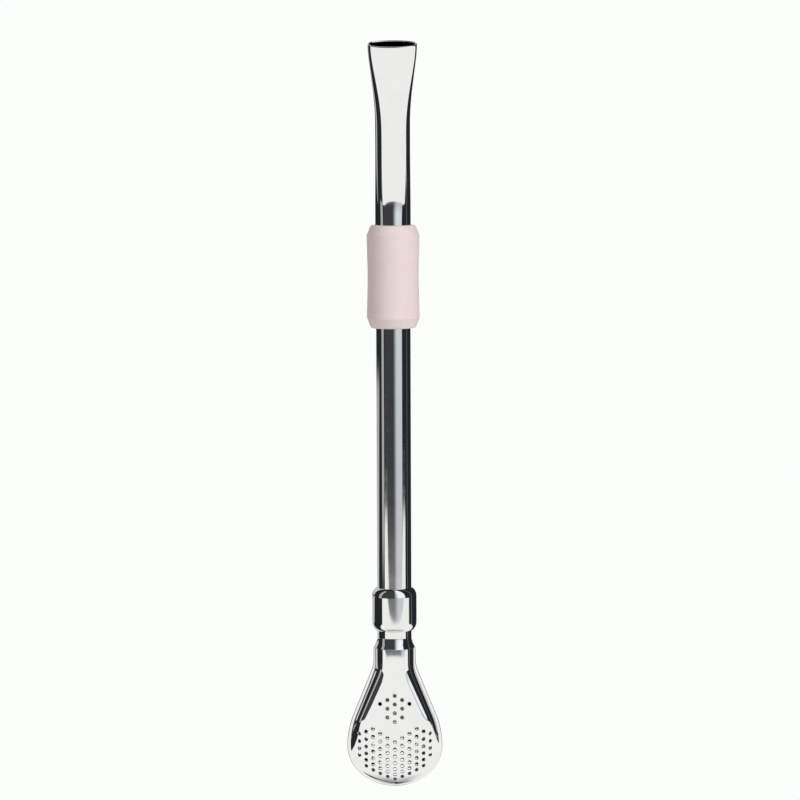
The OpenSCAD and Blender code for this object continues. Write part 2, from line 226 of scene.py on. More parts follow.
def mix(a, b, u):
    """Straight mix: a where u is 0, b where u is 1."""
    return a + (b - a) * u


def signed_power(v, p):
    """Power of the size of a value, with the value's own sign."""
    return np.sign(v) * np.abs(v) ** p


def unit(v):
    """Vectors of the same direction, one long."""
    return v / np.linalg.norm(v, axis=-1, keepdims=True)


# Mesh making


def grid_faces(rows, columns, wrap_rows=False, wrap_columns=False):
    """Four-sided faces between the neighbouring points of a grid, as index rows."""
    i = np.arange(rows if wrap_rows else rows - 1)[:, None]
    j = np.arange(columns if wrap_columns else columns - 1)[None, :]
    down, right = (i + 1) % rows, (j + 1) % columns
    corners = (i * columns + j, i * columns + right, down * columns + right, down * columns + j)
    return np.stack(np.broadcast_arrays(*corners), -1).reshape(-1, 4)


def grid_patch(points, normals, wrap_rows=False, wrap_columns=False):
    """A patch is its points, its normals and a list of face arrays; this one is a whole grid."""
    rows, columns = points.shape[:2]
    faces = grid_faces(rows, columns, wrap_rows, wrap_columns)
    return points.reshape(-1, 3), normals.reshape(-1, 3), [faces]


def weld(patches):
    """Joins patches where their points meet, and keeps each patch's own normals on its corners.

    Faces that fold to a line are dropped, and a face whose winding disagrees with its normals is turned."""
    points = np.concatenate([patch[0] for patch in patches])
    normals = unit(np.concatenate([patch[1] for patch in patches]))
    starts = np.cumsum([0] + [len(patch[0]) for patch in patches])
    rounded = np.round(points, WELD_DIGITS)
    _, first, same = np.unique(rounded, axis=0, return_index=True, return_inverse=True)
    same = same.reshape(-1)
    corners, corner_normals, counts = [], [], []
    for (_, _, blocks), start in zip(patches, starts):
        for block in blocks:
            index = block + start
            place = points[first[same[index]]]
            spin = np.cross(place[:, 1] - place[:, 0], place[:, 2] - place[:, 0])
            spin += np.cross(place[:, -2] - place[:, 0], place[:, -1] - place[:, 0])
            inward = (spin * normals[index].sum(1)).sum(1) < 0
            index[inward] = index[inward, ::-1]
            joined = same[index]
            keep = joined != np.roll(joined, 1, axis=1)
            keep[keep.sum(1) < 3] = False
            corners.append(joined[keep])
            corner_normals.append(normals[index][keep])
            counts.append(keep.sum(1)[keep.any(1)])
    return points[first], np.concatenate(corners), np.concatenate(corner_normals), np.concatenate(counts)


def make_piece(name, patches, material, body, node):
    """One mesh object from its patches, in metres, riding on its body in place of its CAD node."""
    points, corners, corner_normals, counts = weld(patches)
    mesh = bpy.data.meshes.new(name)
    mesh.vertices.add(len(points))
    mesh.vertices.foreach_set("co", (points * MM).ravel())
    mesh.loops.add(len(corners))
    mesh.loops.foreach_set("vertex_index", corners)
    mesh.polygons.add(len(counts))
    mesh.polygons.foreach_set("loop_start", np.cumsum(counts) - counts)
    mesh.polygons.foreach_set("use_smooth", np.ones(len(counts), bool))
    mesh.update(calc_edges=True)
    mesh.normals_split_custom_set(corner_normals.tolist())
    mesh.materials.append(material)
    piece = bpy.data.objects.new(name, mesh)
    bpy.context.scene.collection.objects.link(piece)
    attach(piece, body)
    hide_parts(node)


def rounded_outline(corners):
    """Points and outward normals of a closed outline with round corners, each (r, z, radius).

    The walk keeps the solid on its left. At a corner the normal turns evenly from one side's to the
    next side's, and each point lies one radius along its normal from the arc's centre."""
    spots = np.array([corner[:2] for corner in corners], float)
    radius = np.array([corner[2] for corner in corners], float)[:, None]
    ahead = unit(np.roll(spots, -1, 0) - spots)
    before = np.roll(ahead, 1, 0)
    turn = np.arctan2(before[:, 0] * ahead[:, 1] - before[:, 1] * ahead[:, 0], (before * ahead).sum(1))
    first = np.arctan2(-before[:, 0], before[:, 1])
    side = np.sign(turn)[:, None]
    start = np.stack([np.cos(first), np.sin(first)], 1)
    centre = spots - before * radius * np.tan(np.abs(turn) / 2)[:, None] - start * side * radius
    angle = first[:, None] + turn[:, None] * np.linspace(0, 1, ARC_STEPS + 1)
    normals = np.stack([np.cos(angle), np.sin(angle)], -1)
    points = centre[:, None] + normals * (side * radius)[:, None]
    return points.reshape(-1, 2), normals.reshape(-1, 2)


def turned(outline, normals, open_after=None):
    """Lathe surface: the outline's (r, z) points carried round the Z axis.

    The wall after the point open_after is left out, for a thread to fill."""
    angle = np.arange(SIDES) * 2 * math.pi / SIDES
    around = np.stack([np.cos(angle), np.sin(angle), np.zeros(SIDES)], -1)
    up = np.array([0, 0, 1.0])
    points = outline[:, None, :1] * around + outline[:, None, 1:] * up
    facing = normals[:, None, :1] * around + normals[:, None, 1:] * up
    if open_after is None:
        return grid_patch(points, facing, wrap_rows=True, wrap_columns=True)
    first = open_after + 1
    return grid_patch(np.roll(points, -first, 0), np.roll(facing, -first, 0), wrap_columns=True)


def thread_wall(z0, z1, root_r, widen, fade, outward):
    """Screw surface between two heights: the radius is the root's plus the ridge's height.

    The ridge is a rounded trapezium across its helix, which climbs one pitch a turn, and it fades to
    nothing over a length fade from each end."""
    rows = int((z1 - z0) / THREAD_STEP) + 1
    angle = (np.arange(SIDES) * 2 * math.pi / SIDES)[None, :]
    z = np.linspace(z0, z1, rows)[:, None]

    def radius(angle, z):
        """Radius of the screw: how near the ridge of the closest turn is gives its height."""
        turn = (z - counterbore_z) / THREAD_PITCH - angle / (2 * math.pi)
        away = np.abs(turn - np.round(turn)) * THREAD_PITCH
        flank = (THREAD_ROOT - THREAD_CREST) / 2
        ridge = smooth(((THREAD_ROOT + widen) / 2 - away) / flank)
        ends = smooth(np.minimum(z - z0, z1 - z) / fade) if fade else 1
        return root_r + THREAD_DEPTH * ridge * ends

    def point(angle, z):
        r = radius(angle, z)
        return np.stack(np.broadcast_arrays(r * np.cos(angle), r * np.sin(angle), z), -1)

    step = 1e-3
    along = point(angle + step, z) - point(angle - step, z)
    up = point(angle, np.minimum(z + step, z1)) - point(angle, np.maximum(z - step, z0))
    return grid_patch(point(angle, z), unit(np.cross(along, up)) * outward, wrap_columns=True)


def flat_ring(outline_r, wall, row, facing):
    """Flat ring between a round edge and one end row of a thread wall."""
    edge = wall[0].reshape(-1, SIDES, 3)[row]
    angle = np.arange(SIDES) * 2 * math.pi / SIDES
    rim = np.stack([outline_r * np.cos(angle), outline_r * np.sin(angle), edge[:, 2]], -1)
    points = np.stack([rim, edge])
    return grid_patch(points, np.broadcast_to([0, 0, facing], points.shape), wrap_columns=True)


# Materials

# Pattern sizes in millimetres. The blasted grain is about 0.05 mm on a real grip; it is drawn coarser so
# that it shows
SMEAR_SIZE = 5.0
CLOUD_SIZE = 4.0
GRAIN_SIZE = 0.25
GRAIN_DEPTH = 0.02
MILK_SIZE = 1.5
SILICONE_IOR = 1.41


def linear(hex_colour):
    """sRGB hex to linear light, with full alpha."""
    value = np.array([int(hex_colour[i:i + 2], 16) for i in (1, 3, 5)]) / 255
    low, high = value / 12.92, ((value + 0.055) / 1.055) ** 2.4
    return (*np.where(value <= 0.04045, low, high).tolist(), 1.0)


def add_node(tree, kind, settings=None, *values, **inputs):
    """Adds a node; settings are its own properties. values go to its sockets in order, and inputs go to
    them by name, with _ for a space: numbers and colours to set, or sockets and nodes to link from."""
    node = tree.nodes.new(kind)
    for key, value in (settings or {}).items():
        setattr(node, key, value)
    named = [(node.inputs[key.replace("_", " ")], value) for key, value in inputs.items()]
    for socket, value in [*zip(node.inputs, values), *named]:
        if isinstance(value, bpy.types.Node):
            value = value.outputs[0]
        if isinstance(value, bpy.types.NodeSocket):
            tree.links.new(value, socket)
        else:
            socket.default_value = value
    return node


def new_material(name):
    """New node material, its tree and its main shader."""
    material = bpy.data.materials.new(name)
    material.use_nodes = True
    tree = material.node_tree
    return material, tree, tree.nodes["Principled BSDF"]


def per_metre(size_mm):
    """Noise scale for features of a real size: one feature each size_mm."""
    return 1 / (size_mm * MM)


def dress(tree, shader, tint_by, dark, pale, gloss_by, gloss, span=(0.3, 0.7)):
    """Links a shader's colour and roughness to patterns: the colour runs from dark to pale, and the
    roughness between two values over a span of its pattern."""
    tint = add_node(tree, "ShaderNodeMix", {"data_type": "RGBA"}, Factor=tint_by.outputs[0],
                    A=linear(dark), B=linear(pale))
    rough = add_node(tree, "ShaderNodeMapRange", Value=gloss_by, From_Min=span[0], From_Max=span[1],
                     To_Min=gloss[0], To_Max=gloss[1])
    tree.links.new(tint.outputs["Result"], shader.inputs["Base Color"])
    tree.links.new(rough.outputs[0], shader.inputs["Roughness"])


def polished_steel(name, pale, dark, gloss, line_size, line_stretch, line_depth):
    """18/8 stainless steel, polished after forming.

    The eye gets a mirror with a trace of the polishing: fine lines along the way that the wheel ran,
    faint smears that change the gloss over a few millimetres, and almost no colour of its own."""
    material, tree, shader = new_material(name)
    place = add_node(tree, "ShaderNodeTexCoord").outputs["Object"]
    smear = add_node(tree, "ShaderNodeTexNoise", Vector=place, Scale=per_metre(SMEAR_SIZE), Detail=3.0,
                     Roughness=0.6)
    stretched = add_node(tree, "ShaderNodeMapping", Vector=place, Scale=line_stretch)
    lines = add_node(tree, "ShaderNodeTexNoise", Vector=stretched, Scale=per_metre(line_size), Detail=2.0)
    relief = add_node(tree, "ShaderNodeBump", Height=lines, Strength=0.25, Distance=line_depth * MM)
    dress(tree, shader, smear, dark, pale, smear, gloss)
    tree.links.new(relief.outputs[0], shader.inputs["Normal"])
    shader.inputs["Metallic"].default_value = 1.0
    return material


def moulded_silicone():
    """Pink silicone rubber from a fine-blasted mould: matt, a little powdery, with soft highlights."""
    material, tree, shader = new_material("grip_silicone_matt")
    place = add_node(tree, "ShaderNodeTexCoord").outputs["Object"]
    cloud = add_node(tree, "ShaderNodeTexNoise", Vector=place, Scale=per_metre(CLOUD_SIZE), Detail=4.0)
    grain = add_node(tree, "ShaderNodeTexNoise", Vector=place, Scale=per_metre(GRAIN_SIZE), Detail=3.0)
    relief = add_node(tree, "ShaderNodeBump", Height=grain, Strength=0.2, Distance=GRAIN_DEPTH * MM)
    dress(tree, shader, cloud, "#DDC9C8", "#E4D2D1", grain, (0.52, 0.66))
    tree.links.new(relief.outputs[0], shader.inputs["Normal"])
    shader.inputs["IOR"].default_value = SILICONE_IOR
    shader.inputs["Sheen Weight"].default_value = 0.12
    shader.inputs["Sheen Roughness"].default_value = 0.5
    return material


def clear_silicone():
    """Translucent white silicone sheet, cut to a washer: milky, with a satin face."""
    material, tree, shader = new_material("seal_silicone_milky")
    place = add_node(tree, "ShaderNodeTexCoord").outputs["Object"]
    cloud = add_node(tree, "ShaderNodeTexNoise", Vector=place, Scale=per_metre(MILK_SIZE), Detail=3.0)
    dress(tree, shader, cloud, "#E3E0D8", "#EFEDE7", cloud, (0.3, 0.45), (0.0, 1.0))
    shader.inputs["IOR"].default_value = SILICONE_IOR
    return material


# The drawn tube's lines run along it, the turned pieces' lines run round them
tube_steel = polished_steel("steel_drawn_tube_polished", "#F3F2F1", "#E9E8E7", (0.03, 0.06),
                            0.25, (1, 1, 0.02), 0.004)
turned_steel = polished_steel("steel_turned_polished", "#F3F2F1", "#E8E7E6", (0.012, 0.03),
                              0.25, (0.05, 0.05, 1), 0.0001)
pressed_steel = polished_steel("steel_pressed_sheet_polished", "#F4F3F2", "#EAE9E8", (0.02, 0.05),
                               0.6, (1, 1, 0.3), 0.002)
grip_rubber = moulded_silicone()
seal_rubber = clear_silicone()


# Mouthpiece

lead_len = grip_top + BEND_GAP - joint_z
bend_len = BEND_RADIUS * BEND_ANGLE
path_len = lead_len + bend_len + MOUTH_LEN


def mouth_point(s, inset, t):
    """Point of the mouthpiece at length s along its axis, angle t round it, inset from the outside.

    The axis runs up, bends towards the drinker on an arc and runs straight to the rim. The section is a
    superellipse whose half width grows and half thickness shrinks on smooth steps towards the rim. The
    press leaves a slight waist between the bend and the rim, and flattens the bend itself a little."""
    lean = np.clip((s - lead_len) / bend_len, 0, 1) * BEND_ANGLE
    rest = np.maximum(0, s - lead_len - bend_len)
    y = -BEND_RADIUS * (1 - np.cos(lean)) - rest * np.sin(lean)
    z = joint_z + np.minimum(s, lead_len) + BEND_RADIUS * np.sin(lean) + rest * np.cos(lean)
    press = smooth(np.clip((s - path_len + MOUTH_LEN) / MOUTH_LEN, 0, 1) ** PRESS_POWER)
    widen = smooth(np.clip((s - path_len + FLARE_LEN) / FLARE_LEN, 0, 1) ** FLARE_POWER)
    waist = MOUTH_WAIST * smooth((s - lead_len) / bend_len) * smooth((path_len - s) / WAIST_END)
    half_w = mix(MOUTH_R, MOUTH_W / 2, widen) - waist - inset
    first = smooth((s - lead_len + FIRST_START) / FIRST_LEN)
    half_t = mix(MOUTH_R - FIRST_PRESS * first, MOUTH_T / 2, press) - inset
    power = 2 / mix(mix(2, FIRST_POWER, first), MOUTH_POWER, press)
    side = half_w * signed_power(np.cos(t), power)
    out = half_t * signed_power(np.sin(t), power)
    return np.stack(np.broadcast_arrays(side, y - out * np.cos(lean), z - out * np.sin(lean)), -1)


def mouthpiece():
    """Bent tube with a rolled lip: a closed outline of (inset, length) carried along the axis."""
    outline, facing = rounded_outline([
        (-MOUTH_WALL, 0, EDGE_ROUND), (0, 0, EDGE_ROUND),
        (0, path_len, LIP_ROUND), (-MOUTH_WALL, path_len, LIP_ROUND)])
    turn = 2 * (ARC_STEPS + 1) - 1
    low, high = outline[turn, 1], outline[turn + 1, 1]
    s = np.linspace(low, high, MOUTH_ROWS)[1:-1]
    out_side = np.stack([np.zeros_like(s), s], 1)
    in_side = np.stack([np.full_like(s, -MOUTH_WALL), s[::-1]], 1)
    right = np.broadcast_to([1.0, 0], out_side.shape)
    outline = np.concatenate([outline[:turn + 1], out_side, outline[turn + 1:], in_side])
    facing = np.concatenate([facing[:turn + 1], right, facing[turn + 1:], -right])
    s, inset = outline[:, 1:], -outline[:, :1]
    # The corners of the superellipse take more points than its flats
    t = (np.arange(MOUTH_SIDES) * 2 * math.pi / MOUTH_SIDES)[None, :]
    t = t - MOUTH_CROWDING * np.sin(4 * t)
    step = 1e-3
    round_it = mouth_point(s, inset, t + step) - mouth_point(s, inset, t - step)
    along = (mouth_point(s + step, inset, t) - mouth_point(s - step, inset, t)) / (2 * step)
    outward = (mouth_point(s, inset - step, t) - mouth_point(s, inset + step, t)) / (2 * step)
    # The outline's own normal, turned a quarter, is the way that the outline runs
    way = -facing[:, None, 1:] * outward + facing[:, None, :1] * along
    normals = unit(np.cross(way, round_it))
    points = mouth_point(s, inset, t)
    patch = grid_patch(points, normals, wrap_rows=True, wrap_columns=True)
    make_piece("mouthpiece_tube", [patch], tube_steel, "stem", "mouthpiece")


# Stem, grip, collar, seal and neck


def stem():
    """Drawn tube: a straight outline with a cone down to the spigot inside the mouthpiece."""
    cone_z = joint_z - (STEM_R - SPIGOT_R)
    outline = rounded_outline([
        (STEM_R - STEM_WALL, socket_z, EDGE_ROUND), (STEM_R, socket_z, EDGE_ROUND),
        (STEM_R, cone_z, SPIGOT_BEND), (SPIGOT_R, joint_z, SPIGOT_BEND),
        (SPIGOT_R, stem_end, EDGE_ROUND), (SPIGOT_R - STEM_WALL, stem_end, EDGE_ROUND),
        (SPIGOT_R - STEM_WALL, joint_z, SPIGOT_BEND), (STEM_R - STEM_WALL, cone_z, SPIGOT_BEND)])
    make_piece("stem_barrel", [turned(*outline)], tube_steel, "stem", "stem_tube")


def grip():
    """Moulded sleeve: a bevelled outline whose waist is drawn in by the square of half a sine wave."""
    waist_low, waist_high = grip_z + BEVEL_LEN, grip_top - BEVEL_LEN
    outline, facing = rounded_outline([
        (GRIP_BORE, grip_z, GRIP_CORNER / 2), (GRIP_R - BEVEL_IN, grip_z, GRIP_CORNER),
        (GRIP_R, waist_low, BEVEL_ROUND), (GRIP_R, waist_high, BEVEL_ROUND),
        (GRIP_R - BEVEL_IN, grip_top, GRIP_CORNER), (GRIP_BORE, grip_top, GRIP_CORNER / 2)])
    turn = 3 * (ARC_STEPS + 1) - 1
    low, high = outline[turn, 1], outline[turn + 1, 1]
    z = np.linspace(low, high, GRIP_ROWS)
    u = (z - low) / (high - low)
    draw = GRIP_WAIST * np.sin(math.pi * u) ** 2
    slope = GRIP_WAIST * np.sin(2 * math.pi * u) * math.pi / (high - low)
    waist = np.stack([GRIP_R - draw, z], 1)
    waist_facing = unit(np.stack([np.ones_like(z), slope], 1))
    outline = np.concatenate([outline[:turn], waist, outline[turn + 2:]])
    facing = np.concatenate([facing[:turn], waist_facing, facing[turn + 2:]])
    make_piece("grip_skin", [turned(outline, facing)], grip_rubber, "grip", "grip_sleeve")


def collar():
    """Turned ferrule: a bar rounded at both ends, with socket, land, recess, thread and counterbore."""
    arc_r = COLLAR_R - COLLAR_ROUND
    top_rise = math.sqrt(COLLAR_ROUND ** 2 - (COLLAR_TOP_R - arc_r) ** 2)
    foot_rise = math.sqrt(COLLAR_ROUND ** 2 - (COLLAR_FOOT_R - arc_r) ** 2)
    recess_z = spigot_z - RECESS_RELIEF
    edge = COLLAR_EASE
    # The walk starts below the thread, goes round the outside and comes back above it
    outline, facing = rounded_outline([
        (COUNTERBORE_R, counterbore_z, edge), (COUNTERBORE_R, collar_z, edge),
        (COLLAR_FOOT_R, collar_z, edge), (COLLAR_TOP_R, collar_top, edge), (SOCKET_R, collar_top, edge),
        (SOCKET_R, socket_z, edge), (LAND_R, socket_z, edge), (LAND_R, land_z, edge),
        (RECESS_R, land_z, edge), (RECESS_R, recess_z, edge)])
    low = np.linspace(-math.acos((COLLAR_FOOT_R - arc_r) / COLLAR_ROUND), 0, COLLAR_STEPS)
    high = np.linspace(0, math.acos((COLLAR_TOP_R - arc_r) / COLLAR_ROUND), COLLAR_STEPS)
    turn = np.concatenate([low, high])
    side = np.stack([np.cos(turn), np.sin(turn)], 1)
    centre_z = np.repeat([collar_z + foot_rise, collar_top - top_rise], COLLAR_STEPS)
    barrel = np.stack([arc_r + COLLAR_ROUND * side[:, 0], centre_z + COLLAR_ROUND * side[:, 1]], 1)
    foot, top = 2 * (ARC_STEPS + 1), 4 * (ARC_STEPS + 1)
    outline = np.concatenate([outline[:foot], barrel, outline[top:]])
    facing = np.concatenate([facing[:foot], side, facing[top:]])
    last = len(outline) - 1
    shell = turned(outline, facing, open_after=last)
    z0, z1 = outline[0, 1], outline[last, 1]
    wall = thread_wall(z0, z1, CORE_R + THREAD_FIT, 2 * FLANK_FIT, 0, -1)
    rings = [flat_ring(outline[0, 0], wall, 0, -1), flat_ring(outline[last, 0], wall, -1, 1)]
    make_piece("collar_ferrule", [shell, wall, *rings], turned_steel, "stem", "collar")


def seal():
    """Flat washer with edges eased by the cutter."""
    edge = SEAL_EASE
    outline = rounded_outline([
        (LAND_R, spigot_z, edge), (SEAL_R, spigot_z, edge), (SEAL_R, land_z, edge), (LAND_R, land_z, edge)])
    make_piece("seal_washer", [turned(*outline)], seal_rubber, "seal", "seal_ring")


def neck():
    """Turned neck: seat, cone and shank, with the male thread on its spigot."""
    edge = NECK_EASE
    outline, facing = rounded_outline([
        (CORE_R, spigot_z, edge), (NECK_BORE_R, spigot_z, edge), (NECK_BORE_R, seat_z, edge),
        (NECK_SEAT_R, seat_z, edge), (NECK_SEAT_R, shell_top, edge), (CONE_FOOT_R, shell_top, edge),
        (SHANK_R, shell_top + CONE_LEN, CONE_BLEND), (SHANK_R, shank_top, edge), (CORE_R, shank_top, edge)])
    last = len(outline) - 1
    shell = turned(outline, facing, open_after=last)
    wall = thread_wall(outline[last, 1], outline[0, 1], CORE_R, 0, THREAD_FADE, 1)
    make_piece("neck_spigot", [shell, wall], turned_steel, "filter", "threaded_neck")


# Filter shells


def half_width(z, inset, tip_inset, neck_r):
    """Half width of the filter at a height: an ellipse up to the widest place, then an arc, then a
    straight flank that runs softly into the neck. inset draws the outline in."""
    up = z - BOWL_LOW
    bowl = (BOWL_R - inset) * np.sqrt(np.maximum(0, 1 - (np.minimum(up, 0) / (BOWL_LOW - tip_inset)) ** 2))
    arc_r = FLANK_CURVE - inset
    arc = BOWL_R - FLANK_CURVE + np.sqrt(np.maximum(0, arc_r ** 2 - up ** 2))
    flank = curve_top_r - (z - curve_top_z) * math.tan(FLANK_ANGLE) - inset / math.cos(FLANK_ANGLE)
    blend = NECK_BLEND * smooth((z - curve_top_z) / (neck_z - curve_top_z))
    neck = (flank + neck_r + np.sqrt((flank - neck_r) ** 2 + blend ** 2)) / 2
    return np.where(up <= 0, bowl, np.where(up < arc_r * math.sin(FLANK_ANGLE), arc, neck))


def dome_section(z):
    """Half width of the dome's flat, width and turn of the round side next to it, and rise, at a height.

    Low down the flat is narrow and the side is a shallow arc; above the widest place the flat is broad
    and the side, which widens evenly towards the neck, turns a right angle.

    The rise follows a round tip up to the level place. Above it the face leans forward ever more, up to
    the neck's radius, and the neck is tucked in a little at its top."""
    width = half_width(z, FLANGE_W, TIP_FLANGE, SHELL_NECK_R)
    upper = smooth((z - ARC_Z) / (PANEL_Z - ARC_Z))
    side_w = mix(SIDE_W_LOW, SIDE_W, np.clip((z - SIDE_LOW_Z) / (SIDE_TOP_Z - SIDE_LOW_Z), 0, 1))
    panel = mix(ARC_FLAT * width, np.maximum(width - side_w, PANEL_MIN * width), upper)
    turn = mix(BOWL_EDGE, math.pi / 2, upper)
    low = np.maximum(0, 1 - ((LEVEL_Z - np.minimum(z, LEVEL_Z)) / (LEVEL_Z - TIP_FLANGE)) ** 2) ** TIP_POWER
    climb = np.maximum(z - LEVEL_Z, 0) / (neck_z - FACE_GAP - LEVEL_Z)
    face = mix(BOWL_DEPTH, SHELL_NECK_R, climb ** FACE_POWER)
    face = (face + SHELL_NECK_R - np.sqrt((face - SHELL_NECK_R) ** 2 + FACE_BLEND ** 2)) / 2
    tuck = NECK_TUCK * (np.maximum(z - neck_z, 0) / SHELL_NECK_LEN) ** 3
    rise = np.where(z < LEVEL_Z, (BOWL_DEPTH - SHELL_WALL) * low, face - tuck - SHELL_WALL)
    return panel, np.maximum(width - panel, 1e-6), turn, np.maximum(rise, 1e-6)


def dome_depth(x, z):
    """How far the dome stands out from the seam: the sheet, plus the rise, which falls over the round
    side on as much of an ellipse as the side turns through."""
    panel, side, turn, rise = dome_section(z)
    across = np.clip((np.abs(x) - panel) / side, 0, 1) * np.sin(turn)
    return SHELL_WALL + rise * (np.sqrt(1 - across ** 2) - np.cos(turn)) / (1 - np.cos(turn))


def dome_normal(x, z):
    """Outward normal of the front dome: the slope in x, y and z of the ellipse's own equation, in which
    the squares of across and deep add up to one."""
    height = dome_depth(x, z) - SHELL_WALL

    def shares(level):
        """Across and deep in the ellipse of a height, for the same x and depth."""
        panel, side, turn, rise = dome_section(level)
        across = np.maximum(np.abs(x) - panel, 0) / side * np.sin(turn)
        return across, np.cos(turn) + (1 - np.cos(turn)) * height / rise

    _, side, turn, rise = dome_section(z)
    across, deep = shares(z)
    step = 0.005
    high, low = z + step, np.maximum(z - step, TIP_FLANGE + 1e-4)
    (across1, deep1), (across0, deep0) = shares(high), shares(low)
    slope_z = (across1 ** 2 + deep1 ** 2 - across0 ** 2 - deep0 ** 2) / (high - low)
    slope_x = np.sign(x) * 2 * across * np.sin(turn) / side
    return unit(np.stack([slope_x, -2 * deep * (1 - np.cos(turn)) / rise, slope_z], -1))


def on_dome(x, z):
    """Point of the front dome: x, depth towards the drinker, and height."""
    return np.stack([x, -dome_depth(x, z), z], -1)


def sheet_height(length):
    """Height at a distance along the middle of the dome from its tip."""
    z = mix(TIP_FLANGE, neck_z, np.linspace(0, 1, SHEET_STEPS) ** 2)
    run = np.hypot(np.diff(z), np.diff(dome_depth(0 * z, z)))
    return np.interp(length, np.concatenate([[0], np.cumsum(run)]), z)


def hole_places():
    """Columns of holes, evenly spaced along an arc with the bowl's width and rise. Along a column the
    rows follow the sheet, tighter at the tip, and they rise with the square of the column's number."""
    width, rise = BOWL_R - FLANGE_W, BOWL_DEPTH - SHELL_WALL
    radius = (width ** 2 + rise ** 2) / (2 * rise)
    last = len(FIELD_LOW) - 1
    holes = []

    def add_columns(low, high, length):
        """Columns from left to right; length gives a row's distance along the sheet."""
        for column in range(1 - len(low), len(low)):
            row = np.arange(low[abs(column)], high[abs(column)] + 1, 2) / 2
            z = sheet_height(length(row) + ROW_RISE * (column / last) ** 2)
            x = radius * math.sin(column * COLUMN_PITCH / radius)
            holes.append(np.stack([np.full_like(z, x), z], 1))

    spread = (TOP_PITCH - TIP_PITCH) / (2 * FIELD_ROWS)
    add_columns(FIELD_LOW, FIELD_HIGH, lambda row: FIELD_START + TIP_PITCH * row + spread * row ** 2)
    add_columns(GROUP_LOW, GROUP_HIGH, lambda row: GROUP_START + GROUP_PITCH * row)
    return np.concatenate(holes)


def outline_stations():
    """Foot of the dome and rim of the flange, paired, and the way from one to the other. They run from
    the top left down to the tip and up to the top right."""
    upper = np.linspace(shell_top, BOWL_LOW, UPPER_STATIONS, endpoint=False)
    angle = np.linspace(math.pi / 2, 0, LOWER_STATIONS)
    foot_z = np.concatenate([upper, BOWL_LOW - (BOWL_LOW - TIP_FLANGE) * np.cos(angle)])
    rim_z = np.concatenate([upper, BOWL_LOW - BOWL_LOW * np.cos(angle)])
    foot_x = half_width(foot_z, FLANGE_W, TIP_FLANGE, SHELL_NECK_R)
    rim_x = half_width(rim_z, 0, 0, SHELL_NECK_R + NECK_FLANGE)
    foot_x[-1] = rim_x[-1] = 0
    foot, rim = np.stack([foot_x, foot_z], 1), np.stack([rim_x, rim_z], 1)
    mirror = np.array([-1, 1])
    foot = np.concatenate([foot * mirror, foot[-2::-1]])
    rim = np.concatenate([rim * mirror, rim[-2::-1]])
    return foot, rim, unit(rim - foot)


def shell_rim(foot, rim, way):
    """Closed edge of the shell: the steep foot of the dome, a crease, the flange and its round edge,
    the seam face, and the inside of the foot. Rows run along the outline's stations."""
    # The dome meets the crease's arc where its rise is the arc's at the same slope
    probe = (FACE_INSET * np.linspace(1, 0.001, FOOT_PROBES) ** 2)[:, None]
    x, z = foot[:, 0] - way[:, 0] * probe, foot[:, 1] - way[:, 1] * probe
    rise = dome_depth(x, z) - SHELL_WALL
    slope = np.arctan(np.gradient(rise, axis=0) / np.gradient(probe, axis=0))
    under = rise < CREASE_ROUND * (1 - np.cos(slope))
    meet = np.where(under.any(0), under.argmax(0), len(probe) - 1)
    column = np.arange(len(foot))
    start = probe[meet, 0]
    lean = slope[meet, column]

    def spot(distance, depth):
        """Points at a distance out from the foot and a depth from the seam."""
        flat = foot + way * distance[..., None]
        return np.stack([flat[..., 0], np.broadcast_to(-depth, distance.shape), flat[..., 1]], -1)

    def facing(across, front):
        """Normals made of a part along the way out and a part to the front."""
        front = np.broadcast_to(-front, way[:, 0].shape)
        return np.stack([way[:, 0] * across, front, way[:, 1] * across], -1)

    share = np.linspace(1, 0, FOOT_ROWS)[:, None]
    inset = (np.sqrt(FACE_INSET) * share + np.sqrt(start) * (1 - share)) ** 2
    x, z = foot[:, 0] - way[:, 0] * inset, foot[:, 1] - way[:, 1] * inset
    dome, dome_facing = on_dome(x, z), dome_normal(x, z)
    inside = dome - SHELL_WALL * dome_facing
    arc = np.linspace(1, 0, ARC_STEPS)[1:]
    centre = -start + CREASE_ROUND * np.sin(lean)
    rows, normals = [*dome], [*dome_facing]
    for part in arc:
        turn = lean * part
        rows.append(spot(centre - CREASE_ROUND * np.sin(turn),
                         SHELL_WALL + CREASE_ROUND * (1 - np.cos(turn))))
        normals.append(facing(np.sin(turn), np.cos(turn)))
    reach = np.linalg.norm(rim - foot, axis=1)
    for radius, first, depth in ((FLANGE_ROUND, 0, SHELL_WALL - FLANGE_ROUND),
                                 (SEAM_ROUND, math.pi / 2, SEAM_GAP + SEAM_ROUND)):
        for turn in first + np.linspace(0, math.pi / 2, ARC_STEPS):
            rows.append(spot(reach - radius * (1 - math.sin(turn)), depth + radius * math.cos(turn)))
            normals.append(facing(math.sin(turn), math.cos(turn)))
    flange = (np.stack(rows), np.stack(normals))
    bottom = inside[-1] * [1, 0, 1] - [0, SEAM_GAP, 0]
    seam = np.stack([flange[0][-1], bottom])
    inner = np.concatenate([bottom[None], inside[::-1]])
    inner_facing = -np.concatenate([dome_facing[-1:], dome_facing[::-1]])
    back = np.broadcast_to([0, 1.0, 0], seam.shape)
    patches = [grid_patch(*flange), grid_patch(seam, back), grid_patch(inner, inner_facing)]
    ends = [np.concatenate([flange[0][:, i], inner[:, i]]) for i in (0, -1)]
    return patches, dome[0][:, [0, 2]], ends


